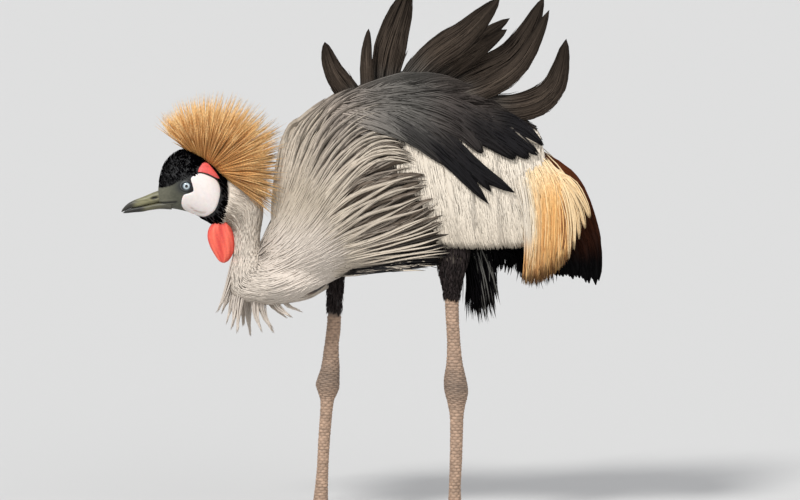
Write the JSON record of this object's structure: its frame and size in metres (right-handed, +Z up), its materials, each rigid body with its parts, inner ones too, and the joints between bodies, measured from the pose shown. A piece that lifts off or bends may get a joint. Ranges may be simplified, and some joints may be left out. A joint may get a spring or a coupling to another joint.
{
  "type": "grey crowned crane",
  "caption": "Life-size still model of a grey crowned crane walking with its head low, gold bristle crest fanned and back plumes raised.",
  "frame": {"origin": "on the floor under the middle of the bird's bounding box", "axes": "-X towards the bill, -Y to the bird's left, +Z up"},
  "size_m": [0.6486, 0.1736, 0.732],
  "materials": {
    "face_skin": "bare grey skin with fine dark down",
    "cap_velvet": "dense velvety black down",
    "crest_bristle": "stiff straw-gold bristles",
    "bill_horn": "grey horn, darker at the tip",
    "eye": "pale blue-grey iris, glossy",
    "cheek_skin": "smooth bare white skin",
    "red_skin": "bare red skin",
    "wattle_skin": "folded bare red skin",
    "neck_feathers": "pale grey lance-shaped feathers",
    "body_feathers": "slate grey and pale grey feathers, black on the vent",
    "wing_feathers": "white coverts, gold plumes, chestnut and black flight feathers",
    "tail_feathers": "black feathers",
    "thigh_feathers": "short dark grey feathers",
    "leg_scale": "grey-brown scaled skin",
    "claw_horn": "dark horn"
  },
  "bodies": {
    "root": {"head": "face_skin", "cap": "cap_velvet", "crest": "crest_bristle", "bill_upper": "bill_horn", "bill_lower": "bill_horn", "wattle": "wattle_skin", "neck_upper": "neck_feathers", "neck_lower": "neck_feathers", "torso": "body_feathers", "tail": "tail_feathers", "eye_left": "eye", "cheek_left": "cheek_skin", "cheek_red_left": "red_skin", "wing_left": "wing_feathers", "thigh_left": "thigh_feathers", "shank_left": "leg_scale", "tarsus_left": "leg_scale", "toe_inner_left": "leg_scale", "claw_inner_left": "claw_horn", "toe_middle_left": "leg_scale", "claw_middle_left": "claw_horn", "toe_outer_left": "leg_scale", "claw_outer_left": "claw_horn", "toe_hind_left": "leg_scale", "claw_hind_left": "claw_horn", "eye_right": "eye", "cheek_right": "cheek_skin", "cheek_red_right": "red_skin", "wing_right": "wing_feathers", "thigh_right": "thigh_feathers", "shank_right": "leg_scale", "tarsus_right": "leg_scale", "toe_inner_right": "leg_scale", "claw_inner_right": "claw_horn", "toe_middle_right": "leg_scale", "claw_middle_right": "claw_horn", "toe_outer_right": "leg_scale", "claw_outer_right": "claw_horn", "toe_hind_right": "leg_scale", "claw_hind_right": "claw_horn"}
  },
  "joints": []
}
